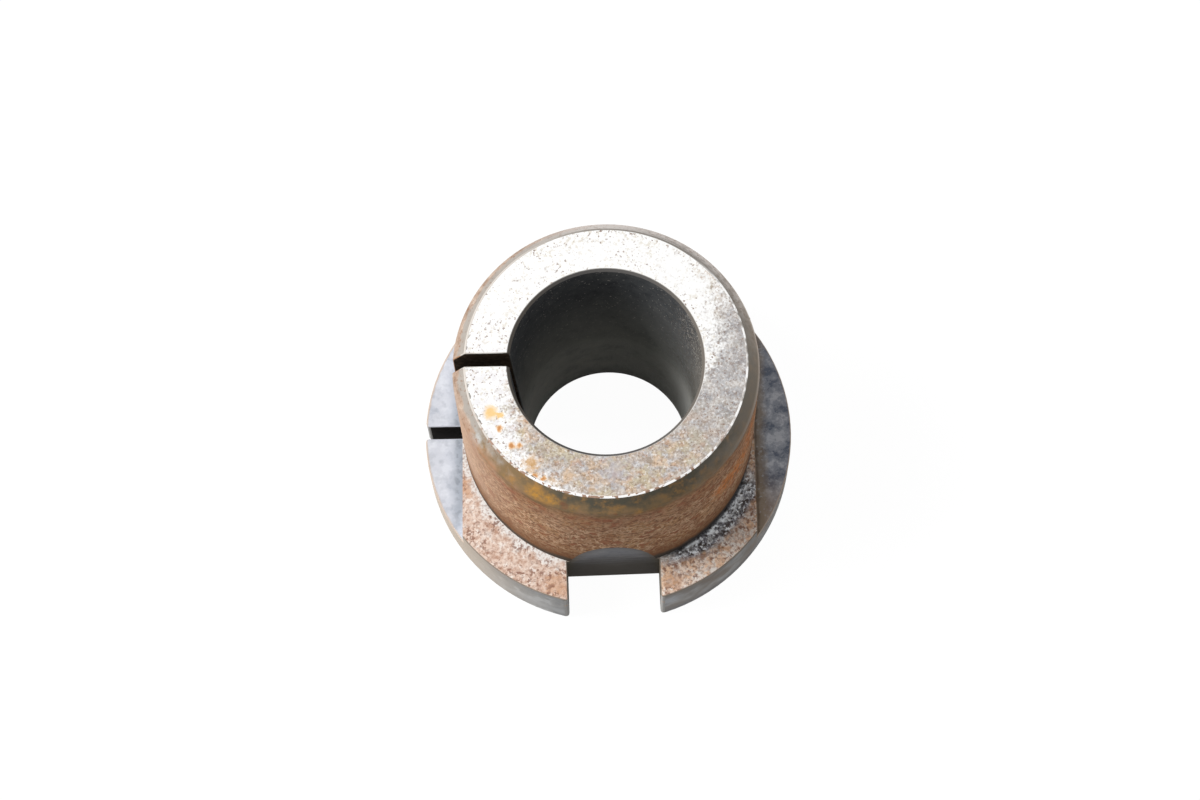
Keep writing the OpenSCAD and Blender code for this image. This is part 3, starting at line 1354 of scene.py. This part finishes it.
@dataclass(frozen=True)
class Bushing:
    """The bushing in one piece, cut as the real one is: turned, then milled, slit and notched."""

    sleeve_r: float = 20.0
    height: float = FACE_Z
    lead_w: float = 1.65
    lead_h: float = 2.45
    bore_top_r: float = 12.5
    bore_base_r: float = 11.05
    bore_break: float = 0.4
    flange_r: float = 25.4
    flange_t: float = SEAT_Z
    relief_x: float = 20.1
    relief_z: float = 6.45
    notch_w: float = 12.6
    notch_floor_y: float = 18.83
    notch_sweep_r: float = 160.0
    notch_turn: float = 1.2
    slit_low_y: float = -0.38
    slit_high_y: float = 1.36
    columns: int = 120
    corner_steps: int = 3
    sweep_steps: int = 40
    edge_steps: int = 3
    lead_round: float = 1.0
    crisp: float = 0.14
    worn: float = 0.17
    blunt: float = 0.6
    weld: float = 0.002
    overshoot: float = 1.0
    edge_angle: float = 40.0
    shade_angle: float = 30.0
    normal_weight: int = 80

    def section(self) -> list[Corner]:
        """Lists the turned section's corners, along the base, up the outside and down the bore.

        Returns:
            The corners in order.
        """
        mouth_r = self.bore_top_r - (self.bore_top_r - self.bore_base_r) * self.bore_break / self.height
        return [
            Corner(self.bore_base_r, 0.0, Zone.RIM),
            Corner(self.flange_r, 0.0, Zone.RIM),
            Corner(self.flange_r, self.flange_t, Zone.FLANGE),
            Corner(self.sleeve_r, self.flange_t, Zone.SLEEVE),
            Corner(self.sleeve_r, self.height - self.lead_h, Zone.LEAD, self.lead_round),
            Corner(self.sleeve_r - self.lead_w, self.height, Zone.FACE),
            Corner(self.bore_top_r + self.bore_break, self.height, Zone.EDGE),
            Corner(mouth_r, self.height - self.bore_break, Zone.BORE),
        ]

    def outline(self) -> list[tuple[Vector, Zone]]:
        """Rounds the section's wide corner.

        Returns:
            The points, each with the zone of the bit that follows it.
        """
        corners = self.section()
        points = []
        for place, corner in enumerate(corners):
            here = Vector((corner.radius, corner.height))
            last, after = corners[place - 1], corners[(place + 1) % len(corners)]
            if corner.rounding == 0.0:
                points.append((here, corner.run))
                continue
            into = (Vector((last.radius, last.height)) - here).normalized()
            away = (Vector((after.radius, after.height)) - here).normalized()
            half_turn = (math.pi - into.angle(away)) / 2
            reach = corner.rounding * math.tan(half_turn)
            centre = here + (into + away).normalized() * (corner.rounding / math.cos(half_turn))
            start = here + into * reach - centre
            end = here + away * reach - centre
            for step in range(self.corner_steps + 1):
                arm = start.lerp(end, step / self.corner_steps).normalized() * corner.rounding
                points.append((centre + arm, corner.run))
        return points

    def blank(self) -> bpy.types.Object:
        """Turns the section round the bore's axis, from one wall of the slit to the other.

        Returns:
            The turned and slit blank.
        """
        outline = self.outline()
        mesh = bmesh.new()
        rings = []
        for point, _ in outline:
            radius, height = point
            first = -math.pi - math.asin(self.slit_low_y / radius)
            last = math.pi - math.asin(self.slit_high_y / radius)
            ring = []
            for column in range(self.columns + 1):
                turn = first + (last - first) * column / self.columns
                spot = Vector((radius * math.cos(turn), radius * math.sin(turn), height))
                ring.append(mesh.verts.new(spot * MM))
            rings.append(ring)
        for place, (_, zone) in enumerate(outline):
            here, after = rings[place], rings[(place + 1) % len(rings)]
            for column in range(self.columns):
                corners = (here[column], here[column + 1], after[column + 1], after[column])
                mesh.faces.new(corners).material_index = zone
        mesh.faces.new([ring[0] for ring in rings]).material_index = Zone.SLIT
        mesh.faces.new([ring[-1] for ring in reversed(rings)]).material_index = Zone.SLIT
        return self.made("bushing_body", mesh)

    def made(self, name: str, mesh: bmesh.types.BMesh) -> bpy.types.Object:
        """Turns built geometry into an object in the scene, with a slot for each zone.

        Args:
            name: The object's name.
            mesh: The geometry, which is freed.

        Returns:
            The object.
        """
        data = bpy.data.meshes.new(name)
        mesh.to_mesh(data)
        mesh.free()
        for _ in Zone:
            data.materials.append(None)
        return linked(name, data)

    def relief_cutter(self, side: int) -> bpy.types.Object:
        """Makes the block that mills one side relief.

        Args:
            side: 1 for +X, -1 for -X.

        Returns:
            The cutter.
        """
        low = Vector((self.relief_x, -2 * self.flange_r, self.relief_z))
        high = Vector((self.flange_r, 2 * self.flange_r, self.flange_t))
        high += Vector((self.overshoot, 0.0, self.overshoot))
        size = (high - low) * MM
        centre = (high + low) / 2 * MM
        centre.x *= side
        mesh = bmesh.new()
        place = Matrix.Translation(centre) @ Matrix.Diagonal((*size, 1.0))
        bmesh.ops.create_cube(mesh, size=1.0, matrix=place)
        for face in mesh.faces:
            face.material_index = Zone.RELIEF
        return self.made("relief_cutter", mesh)

    def notch_cutter(self) -> bpy.types.Object:
        """Makes the part of a disc cutter that sweeps the spanner notch and runs out up the sleeve.

        Returns:
            The cutter.
        """
        low, high = -self.overshoot, self.height - self.lead_h
        side = [Vector((0.0, -2 * self.flange_r, high)), Vector((0.0, -2 * self.flange_r, low))]
        for step in range(self.sweep_steps + 1):
            height = low + (high - low) * step / self.sweep_steps
            drop = self.notch_sweep_r - math.sqrt(self.notch_sweep_r**2 - height**2)
            side.append(Vector((0.0, -self.notch_floor_y - drop, height)))
        mesh = bmesh.new()
        turn = Matrix.Rotation(math.radians(self.notch_turn), 3, "Z")
        walls = []
        for offset in (-self.notch_w / 2, self.notch_w / 2):
            shift = Vector((offset, 0.0, 0.0))
            walls.append([mesh.verts.new(turn @ (point + shift) * MM) for point in side])
        mesh.faces.new(walls[0])
        mesh.faces.new(list(reversed(walls[1])))
        for place in range(len(side)):
            after = (place + 1) % len(side)
            mesh.faces.new((walls[0][after], walls[0][place], walls[1][place], walls[1][after]))
        bmesh.ops.recalc_face_normals(mesh, faces=mesh.faces[:])
        for face in mesh.faces:
            face.material_index = Zone.NOTCH
        return self.made("notch_cutter", mesh)

    def settled(self, piece: bpy.types.Object) -> None:
        """Applies a piece's modifiers to its mesh.

        Args:
            piece: The piece.
        """
        shaped = piece.evaluated_get(bpy.context.evaluated_depsgraph_get())
        data = bpy.data.meshes.new_from_object(shaped)
        old = piece.data
        piece.modifiers.clear()
        piece.data = data
        bpy.data.meshes.remove(old)

    def carve(self, piece: bpy.types.Object, cutter: bpy.types.Object) -> None:
        """Takes a cutter's shape out of a piece and drops the cutter.

        Args:
            piece: The piece that is cut.
            cutter: The closed shape that cuts it.
        """
        cut = piece.modifiers.new("cut", "BOOLEAN")
        cut.operation = "DIFFERENCE"
        cut.solver = "EXACT"
        cut.material_mode = "INDEX"
        cut.object = cutter
        self.settled(piece)
        bpy.data.objects.remove(cutter)

    def rounding(self, edge: bmesh.types.BMEdge) -> float:
        """Says how far an edge is rounded.

        Args:
            edge: The edge.

        Returns:
            The width that the rounding takes on each side, in millimetres; 0 for an edge that stays sharp.
        """
        outward = edge.is_manifold and edge.is_convex
        if not outward or edge.calc_face_angle() < math.radians(self.edge_angle):
            return 0.0
        zones = {Zone(face.material_index) for face in edge.link_faces}
        if zones in ({Zone.RIM}, {Zone.RIM, Zone.NOTCH}, {Zone.RIM, Zone.SLIT}):
            return self.blunt
        if zones == {Zone.LEAD, Zone.FACE}:
            return self.worn
        if Zone.SLIT in zones or zones & {Zone.RIM, Zone.FLANGE} and Zone.RELIEF not in zones:
            return self.crisp
        return self.crisp if zones == {Zone.RELIEF, Zone.RIM} else 0.0

    def break_edges(self, piece: bpy.types.Object) -> None:
        """Rounds the sharp edges a little and sets smooth shading.

        Close corners on the rim are welded and the base is joined to one face first, so that no rounding
        runs across a short edge or a seam.

        Args:
            piece: The carved piece.
        """
        mesh = bmesh.new()
        mesh.from_mesh(piece.data)
        bmesh.ops.remove_doubles(mesh, verts=mesh.verts[:], dist=self.weld * MM)
        rim_from = (self.flange_r - self.crisp) * MM
        rim = [vert for vert in mesh.verts if vert.co.xy.length > rim_from]
        bmesh.ops.remove_doubles(mesh, verts=rim, dist=self.worn * MM)
        seams = [edge for edge in mesh.edges if all(face.normal.z < DOWNWARD for face in edge.link_faces)]
        bmesh.ops.dissolve_edges(mesh, edges=seams, use_verts=False)
        weights = mesh.edges.layers.float.new("bevel_weight_edge")
        for edge in mesh.edges:
            edge[weights] = self.rounding(edge) / self.blunt
        for face in mesh.faces:
            face.smooth = True
        mesh.to_mesh(piece.data)
        mesh.free()
        worn = piece.modifiers.new("worn", "BEVEL")
        worn.limit_method = "WEIGHT"
        worn.width = self.blunt * MM
        worn.segments = self.edge_steps
        worn.use_clamp_overlap = False
        worn.material = int(Zone.EDGE)
        self.settled(piece)
        piece.data.set_sharp_from_angle(angle=math.radians(self.shade_angle))
        normals = piece.modifiers.new("normals", "WEIGHTED_NORMAL")
        normals.keep_sharp = True
        normals.weight = self.normal_weight
        self.settled(piece)

    def build(self, finishes: dict[Zone, bpy.types.Material]) -> bpy.types.Object:
        """Makes the whole piece and dresses it.

        Args:
            finishes: The material of each zone.

        Returns:
            The finished piece.
        """
        piece = self.blank()
        self.carve(piece, self.relief_cutter(1))
        self.carve(piece, self.relief_cutter(-1))
        self.carve(piece, self.notch_cutter())
        self.break_edges(piece)
        for zone in Zone:
            piece.data.materials[zone] = finishes[zone]
        return piece


@dataclass(frozen=True)
class Studio:
    """The pale floor, the soft light from the left and the camera; floor, clip and key are in metres."""

    lens: float = 89.385
    sensor: float = 36.0
    clip: tuple[float, float] = (0.01, 20.0)
    aim: tuple[float, float, float] = (-1.009, 2.087, 15.0)
    distance: float = 407.05
    elevation: float = 71.8215
    azimuth: float = 1.5204
    roll: float = -2.4697
    floor_size: float = 6.0
    floor_drop: float = 0.00002
    floor_lit: Colour = paint(154, 154, 154)
    floor_faint: Colour = (0.06, 0.06, 0.06, 1.0)
    floor_glow: float = 0.97
    ambient: float = 0.38
    key_power: float = 9.4
    key_size: float = 0.5
    key_place: tuple[float, float, float] = (-0.7, 0.05, 0.65)

    def camera(self) -> None:
        """Sets the camera at the viewing angle."""
        tilt, swing = math.radians(self.elevation), math.radians(self.azimuth)
        level = math.cos(tilt)
        axis = Vector((-math.sin(swing) * level, math.cos(swing) * level, -math.sin(tilt)))
        data = bpy.data.cameras.new("camera")
        data.lens = self.lens
        data.sensor_width = self.sensor
        data.clip_start, data.clip_end = self.clip
        camera = linked("camera", data)
        camera.rotation_mode = "QUATERNION"
        turn = Quaternion((0.0, 0.0, 1.0), math.radians(self.roll))
        camera.rotation_quaternion = axis.to_track_quat("-Z", "Y") @ turn
        camera.location = (Vector(self.aim) - axis * self.distance) * MM
        bpy.context.scene.camera = camera

    def shown_rays(self, graph: Graph) -> Socket:
        """Masks the rays that show the background: the camera's, mirrored and passed ones.

        Args:
            graph: The graph that needs the mask.

        Returns:
            The mask.
        """
        path = graph.add("ShaderNodeLightPath", {}).outputs
        mirrored = graph.math("MAXIMUM", path["Is Glossy Ray"], path["Is Transmission Ray"])
        return graph.math("MAXIMUM", path["Is Camera Ray"], mirrored)

    def floor(self) -> None:
        """Lays the white floor, which keeps a faint shadow."""
        half = self.floor_size / 2
        data = bpy.data.meshes.new("floor")
        corners = [(-half, -half, 0.0), (half, -half, 0.0), (half, half, 0.0), (-half, half, 0.0)]
        data.from_pydata(corners, [], [(0, 1, 2, 3)])
        floor = linked("floor", data)
        floor.location.z = -self.floor_drop
        material = bpy.data.materials.new("white_floor")
        material.use_nodes = True
        material.node_tree.nodes.clear()
        graph = Graph(material.node_tree)
        lit = graph.add("ShaderNodeBsdfDiffuse", {"Color": self.floor_lit}).outputs[0]
        faint = graph.add("ShaderNodeBsdfDiffuse", {"Color": self.floor_faint}).outputs[0]
        glow = graph.add("ShaderNodeEmission", {"Color": WHITE, "Strength": self.floor_glow}).outputs[0]
        white = graph.add("ShaderNodeAddShader", {0: faint, 1: glow}).outputs[0]
        shown = graph.add("ShaderNodeMixShader", {0: self.shown_rays(graph), 1: lit, 2: white}).outputs[0]
        graph.add("ShaderNodeOutputMaterial", {"Surface": shown})
        data.materials.append(material)

    def world(self) -> None:
        """Sets an even dim surround that shows as white."""
        world = bpy.data.worlds.new("studio")
        world.use_nodes = True
        world.node_tree.nodes.clear()
        graph = Graph(world.node_tree)
        strength = graph.between(self.shown_rays(graph), self.ambient, 1.0)
        around = graph.add("ShaderNodeBackground", {"Color": WHITE, "Strength": strength})
        graph.add("ShaderNodeOutputWorld", {"Surface": around.outputs[0]})
        bpy.context.scene.world = world

    def lamps(self) -> None:
        """Hangs the soft key lamp at the left."""
        data = bpy.data.lights.new("key", "AREA")
        data.shape = "SQUARE"
        data.size = self.key_size
        data.energy = self.key_power
        key = linked("key", data)
        key.location = self.key_place
        key.rotation_mode = "QUATERNION"
        key.rotation_quaternion = (-Vector(self.key_place)).to_track_quat("-Z", "Y")

    def build(self) -> None:
        """Sets up the view, the floor, the light and the camera."""
        bpy.context.scene.view_settings.view_transform = "Standard"
        self.floor()
        self.world()
        self.lamps()
        self.camera()


def finishes_by_zone(effects: Effects) -> dict[Zone, bpy.types.Material]:
    """Makes each surface's material.

    Args:
        effects: The shared node groups.

    Returns:
        The material of each zone.
    """
    chosen: dict[Zone, Finish] = {
        Zone.FACE: GroundFace("ground_face"),
        Zone.LEAD: LeadBevel("lead_bevel"),
        Zone.SLEEVE: SleeveRust("sleeve_rust"),
        Zone.FLANGE: FlangeScale("flange_scale"),
        Zone.RELIEF: MilledRelief("milled_relief"),
        Zone.RIM: RimSteel("rim_steel"),
        Zone.NOTCH: NotchSteel("notch_steel"),
        Zone.BORE: BoreOxide("bore_oxide"),
        Zone.SLIT: SlitWall("slit_wall"),
        Zone.EDGE: WornEdge("worn_edge"),
    }
    return {zone: finish.material(effects) for zone, finish in chosen.items()}


def main() -> None:
    """Builds the bushing and the studio."""
    logging.basicConfig(level=logging.INFO, format="%(name)s: %(message)s")
    piece = Bushing().build(finishes_by_zone(Effects.made()))
    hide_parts("bushing")
    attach(piece, "root")
    LOG.info("%s: %d faces", piece.name, len(piece.data.polygons))
    Studio().build()
    LOG.info("studio: floor, world, key lamp and camera")


if __name__ == "__main__":
    main()
